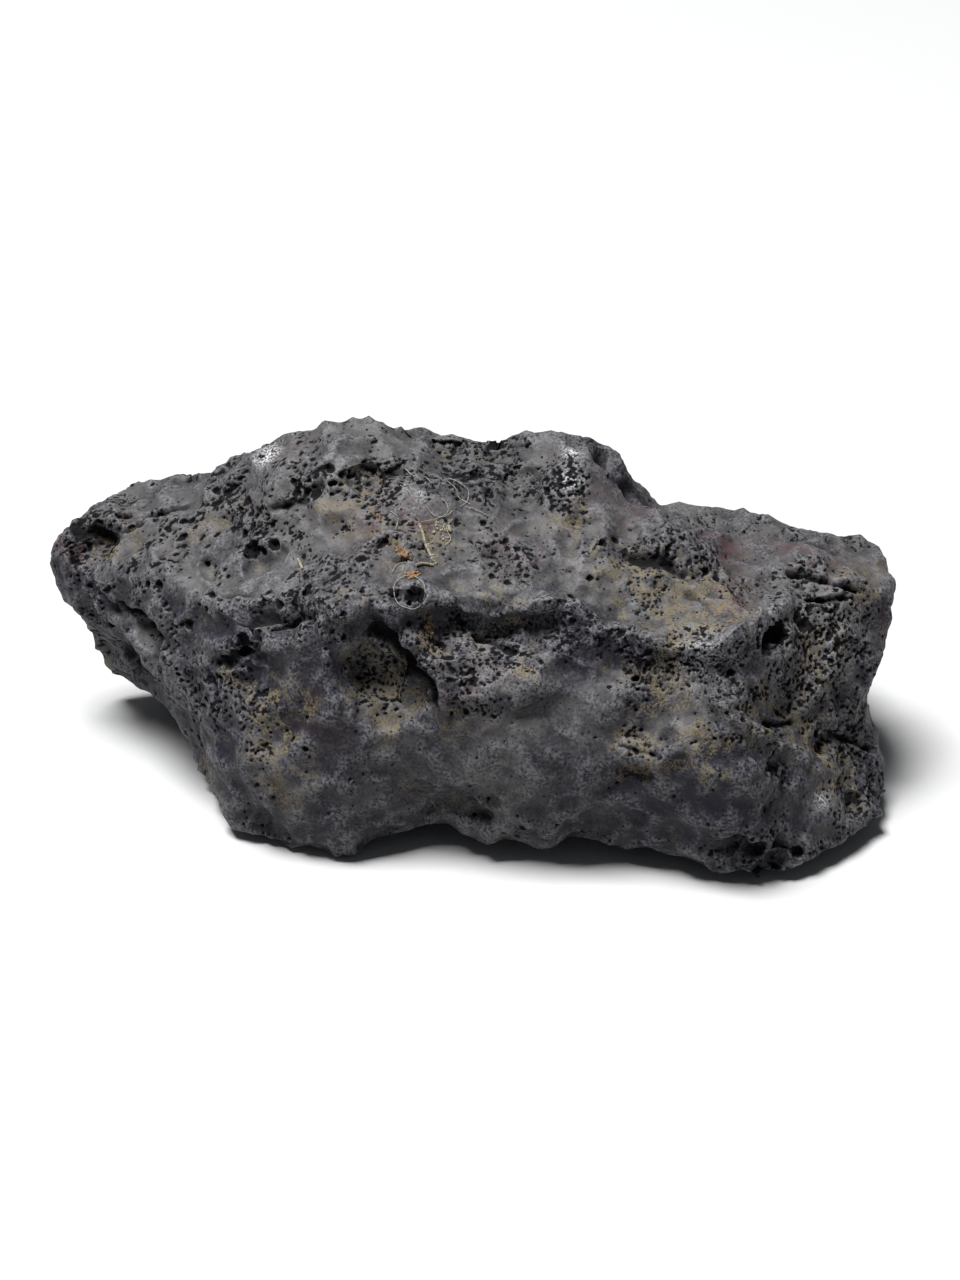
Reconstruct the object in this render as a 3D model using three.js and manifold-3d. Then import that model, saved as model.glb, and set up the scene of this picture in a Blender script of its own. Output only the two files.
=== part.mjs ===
// A rough lump of vesicular hematite, lying on its flattest side.
// Millimetres, +Z up. +X runs along the stone, +Y from its front to its back, and the origin is the
// middle of its base. The stone is one solid: a weathered block whose twelve edges are drawn by hand,
// swollen and dented where the real one is, and opened by the gas bubbles that its broken faces cut.
import * as THREE from "three";
import { ImprovedNoise } from "three/addons/math/ImprovedNoise.js";
import { mergeVertices } from "three/addons/utils/BufferGeometryUtils.js";
import Module from "manifold-3d";

// Driving dimensions: the finished stone's overall size
const LENGTH = 112;
const DEPTH = 53;
const HEIGHT = 48;
const FLAT = 1.6; // how much is worn off the underside, which makes the face that it rests on

// Mesh of the block: facets along the stone, front to back, and up
const FACETS = [48, 16, 16];
const WEATHERING = { rounds: 1, share: 0.5 }; // each round moves a point this share towards its neighbours
const LUMPS = { size: 14, height: 1.3 }; // broad unevenness of the broken faces
const SCOOPS = { size: 7.5, height: 1.8 }; // rounded scoops with worn ridges between them
const BUBBLE_LIFT = 0.2; // a bubble's middle stands clear of the skin by this share of its half size
// Bubbles of the hidden faces: how many, their half sizes, how high above the foot, how far apart, and
// how squarely a face must look back or right to have one
const STRAYS = { seed: 11, count: 9, least: 1.5, spread: 1.2, lowest: 6, clear: 9, facing: 0.8 };
const COLOUR = "#45444a";

// The block's corners, named by front or back, left or right, foot or top
const CORNER = {
  frontLeftFoot: [-32.5, -13, 1],
  frontRightFoot: [56, -9, 3],
  frontLeftTop: [-39.5, -2, 24.5],
  frontRightTop: [55, 2, 29],
  backLeftFoot: [-52, 21.5, 4.5],
  backRightFoot: [47, 24, 1],
  backLeftTop: [-56, 21, 28.5],
  backRightTop: [48, 19, 28],
};

// The block's edges: the corners that they join and the points between
const ALONG = {
  frontFoot: edge("frontLeftFoot", "frontRightFoot", [
    [-25, -17, 0],
    [-16, -18.5, 0],
    [-9, -17, 1.5],
    [-6.5, -15.5, 3],
    [-3, -17, 2],
    [11, -19.5, 1.5],
    [23, -21, 2],
    [34, -24.5, 1],
    [40, -25.5, 0.5],
    [46, -21.5, 2],
    [54, -13, 2],
  ]),
  frontArris: edge("frontLeftTop", "frontRightTop", [
    [-32.5, -7, 30],
    [-26, -12, 30],
    [-19, -14, 34],
    [-9, -14.5, 36],
    [-4, -14, 36],
    [3.5, -13, 35],
    [9, -13, 34],
    [14.5, -14, 32],
    [20.5, -16, 30],
    [26.5, -18, 30],
    [33, -19, 31],
    [37, -12, 31],
    [41, -6, 31.5],
    [48, -2, 30.5],
  ]),
  backFoot: edge("backLeftFoot", "backRightFoot", [
    [-36, 26, 1],
    [-14, 28, 0],
    [8, 26, 1],
    [28, 28, 0],
  ]),
  crest: edge("backLeftTop", "backRightTop", [
    [-52.5, 23, 29.5],
    [-48, 24, 33.5],
    [-42.5, 24, 35],
    [-38.5, 22.5, 35.5],
    [-32.5, 19, 39],
    [-27, 15, 44],
    [-18.5, 13, 48],
    [-12.5, 13, 48],
    [-7, 13, 46],
    [-2, 13, 46.5],
    [1.5, 13, 45],
    [7.5, 13, 47],
    [16, 13, 45.5],
    [19.5, 13.5, 42.5],
    [21.5, 15, 38],
    [26, 19, 32.5],
    [38.5, 20, 31],
    [43, 20, 29],
  ]),
};
const ACROSS = {
  leftFoot: edge("frontLeftFoot", "backLeftFoot", [
    [-34, -6, 2],
    [-38, 2, 2],
    [-40, 9, 2],
    [-44.5, 15.5, 2],
  ]),
  leftTop: edge("frontLeftTop", "backLeftTop", [
    [-46.5, 5, 25],
    [-51, 9.5, 26],
    [-57, 15, 28],
  ]),
  rightFoot: edge("frontRightFoot", "backRightFoot", [
    [54, 4, 2],
    [52, 15, 1],
  ]),
  rightTop: edge("frontRightTop", "backRightTop", [
    [55.5, 5, 29],
    [55, 10, 29.5],
    [53.5, 14, 29.5],
  ]),
};
const UPRIGHT = {
  leftFront: edge("frontLeftFoot", "frontLeftTop", [
    [-33, -12.5, 11],
    [-34, -10, 18],
    [-36.5, -6, 21.5],
  ]),
  rightFront: edge("frontRightFoot", "frontRightTop", [
    [54.5, -8, 6.5],
    [49.5, -7, 14],
    [51.5, -5.5, 17],
    [52.5, -4.5, 19.5],
    [55, 0, 25],
  ]),
  leftBack: edge("backLeftFoot", "backLeftTop", [
    [-53.5, 20, 11],
    [-54.5, 19, 16],
    [-57, 18, 20],
    [-57.5, 19, 23.5],
  ]),
  rightBack: edge("backRightFoot", "backRightTop", [
    [51, 25, 9],
    [50, 23, 20],
  ]),
};

// Broad hollows (rise below 0) and swellings of the faces: middle, half sizes and rise
const SWELLS = [
  { at: [-11, -16, 25.5], half: [7.5, 9, 8], rise: -5.5 }, // the large hollow of the front
  { at: [1.5, -14, 32], half: [13, 8, 4], rise: -2.4 }, // the dent under the front arris
  { at: [2, -16, 25], half: [12, 8, 4], rise: 1.6 }, // the shelf below that dent
  { at: [9, -19, 14], half: [16, 9, 10], rise: 2.2 }, // the smooth belly of the front
  { at: [-23, -15, 18], half: [6, 8, 6], rise: -1.6 },
  { at: [-31, -13, 24], half: [4, 5, 3.5], rise: -2 },
  { at: [26, -7, 31], half: [11, 9, 8], rise: -4 }, // the trough in front of the right block
  { at: [21, 5, 36], half: [6, 9, 9], rise: -3 }, // the steep side of the shoulder
  { at: [13, 5, 42], half: [5, 8, 8], rise: 1.6 }, // the shoulder
  { at: [34, 12, 32], half: [13, 5, 6], rise: -2.6 }, // the groove behind the right block
  { at: [44, 4, 30], half: [11, 6, 6], rise: 1.8 }, // the right block
  { at: [43, -16, 20], half: [8, 8, 7], rise: -2.2 },
  { at: [35, -23, 14], half: [5, 6, 9], rise: 1.5 },
  { at: [-25, -1, 37], half: [9, 8, 6], rise: -1.6 },
  { at: [-44, 3, 22], half: [10, 7, 3.2], rise: -2.8 }, // the slit under the left ledge
  { at: [-44, 8, 14], half: [7, 8, 7], rise: -2.5 }, // under the nose
  { at: [-4, 20, 34], half: [34, 14, 17], rise: 7 }, // the back of the crest
  { at: [-32, 26, 16], half: [12, 8, 10], rise: -3 },
  { at: [20, 27, 20], half: [11, 8, 11], rise: -3 },
  { at: [40, 25, 16], half: [9, 8, 12], rise: 2 },
  { at: [52, 10, 15], half: [6, 9, 8], rise: -2.5 },
  { at: [4, 4, -1], half: [34, 17, 8], rise: 2.5 }, // the underside
];

// Bubbles that the broken faces have opened: nearest point of the face, and half sizes of the bubble
const BUBBLES = [
  { at: [-29, -2, 35], half: [2.7, 2.6, 2.6] },
  { at: [-26, -2, 36], half: [2, 2, 2] },
  { at: [-34, -5, 31.5], half: [1.8, 1.8, 1.6] },
  { at: [-30.5, -13, 24.5], half: [2.6, 2, 1.6] },
  { at: [-6.5, -17, 24.5], half: [1.6, 2.6, 3.6] },
  { at: [-8, -13.5, 36], half: [2, 2, 2] },
  { at: [38.5, -13, 30], half: [2.3, 2.4, 2.2] },
  { at: [39, -20, 16], half: [2.8, 1.6, 1.2] },
  { at: [48, -12, 14], half: [4, 2, 1.3] },
  { at: [50, -14, 6], half: [2.3, 2.2, 2] },
  { at: [38, -25, 3], half: [3.4, 2.2, 1.6] },
  { at: [1.5, -18, 7], half: [2.4, 1.8, 1.4] },
  { at: [-14, 5, 43], half: [2.8, 2, 1.7] },
  { at: [5, 6, 42], half: [3, 1.8, 1.6] },
  { at: [-51, 14, 28.5], half: [2.6, 2, 1.7] },
  { at: [20, -21, 15], half: [2.6, 1.6, 1.1] },
];

function edge(from, to, between) {
  const points = [CORNER[from], ...between, CORNER[to]];
  return new THREE.CatmullRomCurve3(points.map((p) => new THREE.Vector3(...p)));
}

// A repeatable stream of numbers from 0 to 1
function stream(seed) {
  let state = seed;
  return () => {
    state = (Math.imul(state, 1664525) + 1013904223) >>> 0;
    return state / 2 ** 32;
  };
}

// The point of the block's skin at shares u, v and w of the way along, across and up: every face is
// stretched between its four edges
function blockPoint(u, v, w) {
  const point = new THREE.Vector3();
  const addEdges = ([low, lowTop, high, highTop], t, a, b) => {
    point.addScaledVector(low.getPointAt(t), (1 - a) * (1 - b));
    point.addScaledVector(lowTop.getPointAt(t), (1 - a) * b);
    point.addScaledVector(high.getPointAt(t), a * (1 - b));
    point.addScaledVector(highTop.getPointAt(t), a * b);
  };
  addEdges([ALONG.frontFoot, ALONG.frontArris, ALONG.backFoot, ALONG.crest], u, v, w);
  addEdges([ACROSS.leftFoot, ACROSS.leftTop, ACROSS.rightFoot, ACROSS.rightTop], v, u, w);
  addEdges([UPRIGHT.leftFront, UPRIGHT.leftBack, UPRIGHT.rightFront, UPRIGHT.rightBack], w, u, v);
  const corners = new THREE.Vector3();
  for (const [name, place] of Object.entries(CORNER)) {
    const share =
      (name.includes("Right") ? u : 1 - u) *
      (name.startsWith("back") ? v : 1 - v) *
      (name.endsWith("Top") ? w : 1 - w);
    corners.addScaledVector(new THREE.Vector3(...place), share);
  }
  return point.addScaledVector(corners, -2);
}

function blockGeometry() {
  const box = new THREE.BoxGeometry(1, 1, 1, ...FACETS);
  box.deleteAttribute("normal");
  box.deleteAttribute("uv");
  const skin = mergeVertices(box, 1e-5);
  const place = skin.getAttribute("position");
  for (let i = 0; i < place.count; i++) {
    const p = blockPoint(place.getX(i) + 0.5, place.getY(i) + 0.5, place.getZ(i) + 0.5);
    place.setXYZ(i, p.x, p.y, p.z);
  }
  return skin;
}

// Rounds the block's edges by drawing each point towards the middle of its neighbours
function weather(skin, { rounds, share }) {
  const place = skin.getAttribute("position");
  const index = skin.getIndex().array;
  const neighbours = Array.from({ length: place.count }, () => new Set());
  for (let i = 0; i < index.length; i += 3) {
    for (const [a, b] of [[0, 1], [1, 2], [2, 0]]) {
      neighbours[index[i + a]].add(index[i + b]);
      neighbours[index[i + b]].add(index[i + a]);
    }
  }
  const p = new THREE.Vector3();
  for (let round = 0; round < rounds; round++) {
    const old = place.clone();
    for (let i = 0; i < place.count; i++) {
      const middle = new THREE.Vector3();
      for (const n of neighbours[i]) middle.add(p.fromBufferAttribute(old, n));
      middle.divideScalar(neighbours[i].size);
      p.fromBufferAttribute(old, i).lerp(middle, share);
      place.setXYZ(i, p.x, p.y, p.z);
    }
  }
}

// Moves every point along the surface's own normal by rise(point)
function raise(skin, rise) {
  skin.computeVertexNormals();
  const place = skin.getAttribute("position");
  const normal = skin.getAttribute("normal");
  const p = new THREE.Vector3();
  const n = new THREE.Vector3();
  for (let i = 0; i < place.count; i++) {
    p.fromBufferAttribute(place, i);
    n.fromBufferAttribute(normal, i);
    p.addScaledVector(n, rise(p));
    place.setXYZ(i, p.x, p.y, p.z);
  }
}

function swellAt(p) {
  let rise = 0;
  for (const { at, half, rise: most } of SWELLS) {
    const away = new THREE.Vector3(...at).sub(p).divide(new THREE.Vector3(...half)).lengthSq();
    if (away < 1) rise += most * (1 - away) ** 2;
  }
  return rise;
}

const noise = new ImprovedNoise();
function noiseAt(p, size) {
  return noise.noise(p.x / size, p.y / size, p.z / size);
}
function unevenness(p) {
  const scoop = Math.abs(noiseAt(p, SCOOPS.size));
  return LUMPS.height * noiseAt(p, LUMPS.size) - SCOOPS.height * scoop;
}

const wasm = await Module();
wasm.setup();

function solidOf(geometry) {
  const bare = geometry.clone();
  bare.deleteAttribute("normal");
  bare.deleteAttribute("uv");
  const merged = mergeVertices(bare, 1e-4);
  return new wasm.Manifold(
    new wasm.Mesh({
      numProp: 3,
      vertProperties: new Float32Array(merged.getAttribute("position").array),
      triVerts: new Uint32Array(merged.getIndex().array),
    }),
  );
}

function geometryOf(solid) {
  const mesh = solid.getMesh();
  return new THREE.BufferGeometry()
    .setAttribute("position", new THREE.BufferAttribute(mesh.vertProperties, 3))
    .setIndex(new THREE.BufferAttribute(mesh.triVerts, 1));
}

// A bubble sunk in the skin at the point nearest to its place
function bubbleSolid(skin, { at, half }) {
  const place = skin.getAttribute("position");
  const normal = skin.getAttribute("normal");
  const target = new THREE.Vector3(...at);
  const p = new THREE.Vector3();
  let nearest = 0;
  let least = Infinity;
  for (let i = 0; i < place.count; i++) {
    const away = p.fromBufferAttribute(place, i).distanceTo(target);
    if (away < least) [nearest, least] = [i, away];
  }
  p.fromBufferAttribute(place, nearest);
  const n = new THREE.Vector3().fromBufferAttribute(normal, nearest);
  p.addScaledVector(n, BUBBLE_LIFT * Math.min(...half));
  const bubble = new THREE.IcosahedronGeometry(1, 1);
  bubble.scale(...half);
  bubble.translate(p.x, p.y, p.z);
  return solidOf(bubble);
}

// Bubbles of random size at random points of the back and the right end, clear of one another
function strayBubbles(skin) {
  const next = stream(STRAYS.seed);
  const place = skin.getAttribute("position");
  const normal = skin.getAttribute("normal");
  const p = new THREE.Vector3();
  const found = [];
  while (found.length < STRAYS.count) {
    const i = Math.floor(next() * place.count);
    const size = STRAYS.least + STRAYS.spread * next() ** 2;
    p.fromBufferAttribute(place, i);
    const hidden = Math.max(normal.getX(i), normal.getY(i)) > STRAYS.facing && p.z > STRAYS.lowest;
    const clear = found.every(({ at }) => p.distanceTo(new THREE.Vector3(...at)) > STRAYS.clear);
    if (hidden && clear) found.push({ at: p.toArray(), half: [size, size, size] });
  }
  return found;
}

// Cuts the face that the stone rests on
function flatten(stone) {
  const { min } = stone.boundingBox();
  const above = new THREE.BoxGeometry(2 * LENGTH, 2 * DEPTH, 2 * HEIGHT);
  above.translate(0, 0, min[2] + FLAT + HEIGHT);
  return stone.intersect(solidOf(above));
}

// Brings the stone to its overall size, with the middle of its base at the origin
function settle(geometry) {
  geometry.computeBoundingBox();
  const { min, max } = geometry.boundingBox;
  geometry.translate(-(min.x + max.x) / 2, -(min.y + max.y) / 2, -min.z);
  return geometry.scale(LENGTH / (max.x - min.x), DEPTH / (max.y - min.y), HEIGHT / (max.z - min.z));
}

function stoneGeometry() {
  const skin = blockGeometry();
  weather(skin, WEATHERING);
  raise(skin, swellAt);
  raise(skin, unevenness);
  skin.computeVertexNormals();
  let stone = solidOf(skin);
  for (const bubble of [...BUBBLES, ...strayBubbles(skin)]) {
    stone = stone.subtract(bubbleSolid(skin, bubble));
  }
  return settle(geometryOf(flatten(stone)));
}

const stone = new THREE.Mesh(
  stoneGeometry(),
  new THREE.MeshStandardMaterial({ color: COLOUR, roughness: 0.55, metalness: 0.1 }),
);
stone.name = "hematite_stone";

const part = new THREE.Group();
part.add(stone);
export default part;
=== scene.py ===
"""A pitted lump of hematite, built in fine detail over its CAD solid, on a pale studio floor.

Shapes are worked out in millimetres and scaled to metres when a mesh is done. A spot is a place on the
stone, given by the pixel of the 960 x 1280 photograph that shows it, with its reach in millimetres.
"""

import math
from collections import namedtuple

import bmesh
import bpy
import numpy as np
from bpy.props import FloatProperty, FloatVectorProperty, IntProperty, PointerProperty
from mathutils import Matrix, Vector
from mathutils.bvhtree import BVHTree
from mathutils.kdtree import KDTree


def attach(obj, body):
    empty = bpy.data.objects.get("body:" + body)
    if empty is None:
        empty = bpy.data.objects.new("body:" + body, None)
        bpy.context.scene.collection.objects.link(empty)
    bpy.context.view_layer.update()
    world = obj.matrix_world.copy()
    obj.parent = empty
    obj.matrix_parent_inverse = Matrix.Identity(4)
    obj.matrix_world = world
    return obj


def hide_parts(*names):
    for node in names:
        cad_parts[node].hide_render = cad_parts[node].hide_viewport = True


bl_info = {
    "name": "Hematite Stone",
    "version": (1, 0, 0),
    "blender": (4, 5, 0),
    "location": "3D View > Sidebar > Stone",
    "description": "Builds a pitted lump of hematite over its CAD solid, and a studio floor",
    "category": "Add Mesh",
}

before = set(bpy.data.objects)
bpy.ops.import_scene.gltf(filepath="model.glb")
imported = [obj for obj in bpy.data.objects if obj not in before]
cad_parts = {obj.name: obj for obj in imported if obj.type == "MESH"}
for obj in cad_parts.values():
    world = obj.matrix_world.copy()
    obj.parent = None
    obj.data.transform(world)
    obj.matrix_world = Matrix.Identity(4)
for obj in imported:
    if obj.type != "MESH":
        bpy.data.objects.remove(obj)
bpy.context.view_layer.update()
STONE_NODE = "hematite_stone"

MM = 0.001
PHOTO_SIZE = (960, 1280)
SENSOR = 36.0  # width of the camera's sensor, in millimetres
CLOSEST = 0.01  # the camera shows nothing nearer than this, in metres

Spot = namedtuple("Spot", "x y reach strength")
Dot = namedtuple("Dot", "x y radius")
Stroke = namedtuple("Stroke", "width rise path")
Band = namedtuple("Band", "tries least most bias")

PIXEL_STEP = 4  # a stroke is laid on the stone in steps of this many pixels
SLIT_WIDTH = 1.15  # strokes narrower than this that sink get painted shade inside, as pits do
SLIT_SHADE = 0.22  # a slit gets as much painted shade as a pit of this share of its depth
STROKE_WOBBLE = 0.45  # how unevenly a stroke's sides run, in half widths
STROKE_WOBBLE_SIZE = 1.3  # length of that unevenness, in half widths
STROKE_FALL = 2.5  # how squarely a stroke's sides fall
STROKE_PATCH = 2.5  # size of the patches in which a stroke is stronger or weaker, in millimetres
STROKE_MEAN = 0.85  # a stroke's mean share of its rise
STROKE_SWING = 0.6  # how far the patches change it
STROKE_LIMITS = (0.2, 1.2)  # and its least and greatest share

# Hollows, ledges, slits and rims seen in the photograph, each with its half width and its rise in
# millimetres, and its path in pixels
STROKES = [
    Stroke(0.3, -0.9, [(126, 530), (142, 524)]),
    Stroke(0.4, -0.9, [(146, 517), (167, 511), (184, 506)]),
    Stroke(0.45, -0.8, [(119, 515), (128, 513)]),
    Stroke(1.8, -1.3, [(191, 476), (194, 486)]),
    Stroke(2.2, -1.5, [(419, 432), (436, 434)]),
    Stroke(2.4, -1.6, [(458, 435), (470, 435), (486, 439)]),
    Stroke(2.2, -3.4, [(610, 456), (620, 467), (634, 486)]),
    Stroke(2.0, 1.1, [(66, 544), (74, 534), (86, 526)]),
    Stroke(1.6, 0.9, [(836, 542), (852, 543)]),
    Stroke(1.1, -0.9, [(80, 533), (95, 528), (110, 536)]),
    Stroke(0.4, 0.45, [(203, 559), (198, 568), (200, 578), (208, 585)]),
    Stroke(1.2, -0.7, [(207, 566), (212, 572)]),
    Stroke(1.3, -1.0, [(240, 538), (246, 545)]),
    Stroke(0.35, -0.8, [(226, 597), (234, 596)]),
    Stroke(0.35, -0.8, [(239, 597), (246, 597)]),
    Stroke(0.6, -1.5, [(119, 607), (139, 611), (155, 624), (161, 633)]),
    Stroke(0.5, 0.7, [(86, 588), (100, 603), (108, 617)]),
    Stroke(0.5, -0.8, [(93, 585), (106, 600), (118, 612)]),
    Stroke(2.0, -1.6, [(132, 662), (152, 682)]),
    Stroke(0.5, 0.6, [(122, 658), (133, 670), (144, 682)]),
    Stroke(0.4, -0.9, [(211, 676), (216, 695)]),
    Stroke(0.6, -1.0, [(304, 494), (312, 488), (320, 484)]),
    Stroke(0.5, -0.9, [(274, 509), (288, 505), (301, 502)]),
    Stroke(1.8, -2.0, [(264, 615), (284, 614)]),
    Stroke(1.9, -1.6, [(300, 603), (308, 617)]),
    Stroke(0.7, 0.8, [(317, 594), (319, 612), (321, 630), (326, 655)]),
    Stroke(0.5, 0.5, [(321, 622), (334, 616), (350, 613)]),
    Stroke(0.4, -0.8, [(396, 560), (411, 560)]),
    Stroke(1.0, -0.7, [(372, 470), (388, 466), (406, 464)]),
    Stroke(0.8, -0.9, [(452, 472), (468, 475), (483, 473)]),
    Stroke(1.5, -0.7, [(450, 452), (463, 458)]),
    Stroke(1.4, -0.6, [(482, 455), (505, 452)]),
    Stroke(1.5, -0.4, [(430, 618), (456, 618), (482, 626), (505, 628)]),
    Stroke(1.5, -0.4, [(528, 626), (548, 622), (575, 628)]),
    Stroke(0.6, 0.5, [(451, 603), (483, 609), (520, 608), (544, 604), (580, 609)]),
    Stroke(0.5, -1.1, [(479, 636), (496, 643), (513, 652)]),
    Stroke(1.0, -0.9, [(636, 556), (648, 563), (662, 560), (680, 572)]),
    Stroke(0.5, 0.5, [(677, 538), (699, 534), (725, 538), (747, 527)]),
    Stroke(0.5, 0.4, [(827, 552), (852, 556), (878, 562)]),
    Stroke(0.5, -1.2, [(790, 572), (812, 576), (833, 581), (858, 590)]),
    Stroke(0.5, -1.2, [(809, 598), (830, 600), (846, 598)]),
    Stroke(0.4, -0.7, [(688, 593), (700, 597), (712, 604)]),
    Stroke(0.8, 0.8, [(720, 645), (740, 630), (755, 620), (772, 613)]),
    Stroke(0.7, 0.5, [(660, 645), (686, 650), (712, 652), (725, 654)]),
    Stroke(3.2, -1.1, [(374, 662), (387, 682), (404, 700)]),
    Stroke(1.4, -0.7, [(340, 644), (354, 632), (372, 628), (388, 634)]),
    Stroke(1.1, -1.7, [(378, 638), (394, 645), (412, 664), (426, 685), (431, 702)]),
    Stroke(1.0, 0.9, [(408, 638), (425, 658), (440, 684), (442, 705)]),
    Stroke(0.6, -0.9, [(218, 663), (236, 657), (247, 650)]),
    Stroke(0.5, 0.6, [(217, 672), (232, 673), (246, 670)]),
    Stroke(0.4, 0.45, [(254, 662), (256, 653), (266, 649), (276, 655), (278, 664)]),
    Stroke(2.0, 0.9, [(630, 756), (652, 758)]),
    Stroke(0.28, -0.5, [(622, 746), (640, 752), (658, 755)]),
    Stroke(0.25, -0.4, [(630, 736), (644, 741)]),
    Stroke(0.45, -1.1, [(764, 722), (778, 724), (792, 723)]),
    Stroke(0.42, -1.1, [(818, 733), (845, 738), (872, 748)]),
    Stroke(0.9, 1.2, [(716, 704), (745, 726), (772, 743), (802, 760)]),
    Stroke(1.6, -0.4, [(842, 795), (858, 792)]),
    Stroke(1.2, -2.0, [(728, 846), (752, 853), (778, 858)]),
    Stroke(1.2, -1.7, [(780, 846), (796, 858)]),
    Stroke(2.4, -0.9, [(440, 796), (470, 802), (492, 796)]),
    Stroke(2.4, 0.8, [(455, 772), (472, 768)]),
    Stroke(1.8, 0.9, [(478, 820), (494, 822)]),
]

# The arris between the sloping top and the steep front
ARRIS = [
    (205, 602), (240, 607), (283, 604), (317, 602), (347, 614), (387, 610), (430, 604), (451, 602),
    (483, 611), (520, 610), (544, 604), (579, 608), (620, 632), (660, 646), (712, 652), (740, 638),
    (772, 613),
]
ARRIS_SHADE = 24  # the front is darkest this many pixels under the arris
STROKES += [
    Stroke(1.1, 0.9, ARRIS),
    Stroke(2.2, -1.1, [(205, 620), (240, 626), (283, 624)]),
    Stroke(2.2, -0.4, [(452, 624), (483, 632), (520, 632), (544, 626), (579, 630), (620, 654)]),
    Stroke(2.4, -1.0, [(620, 654), (660, 668), (712, 674), (740, 662)]),
]

# Single gas pits seen in the photograph, with their radii in millimetres
PITS = [
    Dot(243, 533, 0.6), Dot(252, 551, 1.15), Dot(274, 544, 0.85), Dot(266, 550, 0.6), Dot(253, 526, 0.6),
    Dot(217, 534, 0.5), Dot(207, 564, 0.4), Dot(213, 573, 0.45), Dot(214, 565, 0.3), Dot(229, 577, 0.35),
    Dot(219, 585, 0.4), Dot(214, 595, 0.5),
    Dot(269, 593, 0.4), Dot(240, 641, 1.1), Dot(246, 652, 0.8), Dot(226, 661, 0.45), Dot(111, 625, 0.5),
    Dot(183, 625, 0.65), Dot(199, 616, 0.45), Dot(196, 527, 0.4), Dot(169, 531, 0.4), Dot(142, 542, 0.4),
    Dot(149, 544, 0.35), Dot(160, 584, 0.6), Dot(149, 584, 0.5), Dot(310, 490, 0.8), Dot(215, 490, 0.5),
    Dot(203, 497, 0.45), Dot(292, 481, 0.45), Dot(330, 468, 0.6), Dot(342, 475, 0.5), Dot(361, 559, 0.75),
    Dot(385, 542, 0.45), Dot(414, 597, 1.35), Dot(395, 593, 0.7), Dot(363, 589, 0.35), Dot(338, 577, 0.5),
    Dot(483, 522, 0.45), Dot(508, 583, 0.5), Dot(589, 578, 0.45), Dot(602, 543, 0.6), Dot(618, 537, 0.5),
    Dot(626, 546, 0.35), Dot(634, 546, 0.3), Dot(779, 632, 1.7), Dot(768, 629, 0.8), Dot(740, 641, 0.4),
    Dot(752, 627, 0.35), Dot(571, 483, 0.4), Dot(560, 478, 0.5), Dot(548, 490, 0.5), Dot(523, 580, 0.4),
    Dot(517, 549, 0.5), Dot(505, 541, 0.4), Dot(491, 577, 0.4), Dot(442, 640, 0.6),
    Dot(795, 856, 0.9), Dot(760, 852, 0.7), Dot(868, 798, 0.5),
]

# Random gas pits by size: how many are tried, their least and greatest radius in millimetres, and how far
# small ones outnumber large ones
PIT_BANDS = [
    Band(80, 0.6, 1.0, 3.0),
    Band(3500, 0.28, 0.48, 2.2),
    Band(52000, 0.17, 0.28, 1.0),
]
PIT_SINK = (-0.6, 0.1)  # a random pit's middle lies this far above the skin, in radii
PLACED_SINK = 0.35  # a single pit's middle lies this far under the skin, in radii
PIT_WOBBLE = 0.2  # how far a pit's rim strays from a circle, in radii
PIT_WOBBLE_SIZE = 0.5  # length of that unevenness, in millimetres
PIT_STRETCH = (0.85, 1.4)  # a random pit's least and greatest length along FLOW, in widths
PIT_SEARCH = 1.2  # points this near to a pit's middle may be in it, in radii
FLOW = Vector((1.0, 0.3, 0.28)).normalized()  # the way that gas pits were drawn out
FLOW_SPOTS = [  # where that is strongest
    Spot(150, 520, 14, 1.0), Spot(230, 490, 14, 1.0), Spot(320, 470, 12, 0.7),
]

# Where gas pits crowd and where the skin is smooth, then where dust, red stains, worn rims with painted
# highlights and light, painted light, painted shade, and pale flecks with painted glints lie
POROUS_SPOTS = [
    Spot(460, 622, 3, 0.8), Spot(500, 632, 3, 0.9), Spot(540, 628, 3, 0.9), Spot(605, 645, 3, 0.8),
    Spot(95, 532, 4, 0.9), Spot(145, 543, 2.5, 0.5), Spot(165, 515, 3, 0.4), Spot(235, 518, 3, 0.6),
    Spot(255, 524, 3, 0.7), Spot(228, 475, 3, 0.6), Spot(265, 478, 3, 0.6), Spot(303, 485, 4, 0.6),
    Spot(388, 468, 4, 0.9), Spot(360, 466, 3, 0.6), Spot(455, 453, 3, 0.9), Spot(468, 474, 3, 0.9),
    Spot(500, 454, 4, 0.9), Spot(560, 486, 4, 1.0), Spot(500, 558, 4.5, 0.7), Spot(604, 545, 2, 0.6),
    Spot(300, 612, 4, 0.8), Spot(340, 577, 3, 0.6), Spot(362, 557, 2, 0.6), Spot(435, 545, 4, 0.3),
    Spot(570, 630, 5, 0.9), Spot(470, 665, 6, 0.8), Spot(520, 655, 4, 0.8), Spot(655, 565, 4, 0.6),
    Spot(700, 562, 4, 0.5), Spot(690, 652, 4, 0.8), Spot(730, 655, 3, 0.7), Spot(810, 585, 4, 0.8),
    Spot(830, 640, 7, 0.9), Spot(800, 680, 6, 0.8), Spot(840, 760, 5, 0.7), Spot(640, 745, 4, 0.8),
    Spot(385, 680, 4, 0.9), Spot(430, 640, 4, 0.7), Spot(235, 655, 3, 0.6), Spot(265, 705, 3, 0.7),
    Spot(280, 760, 4, 0.5), Spot(190, 690, 4, 0.5), Spot(700, 740, 4, 0.5), Spot(650, 690, 4, 0.6),
    Spot(770, 855, 5, 0.6), Spot(860, 800, 4, 0.6), Spot(720, 690, 3, 0.5),
]
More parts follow.
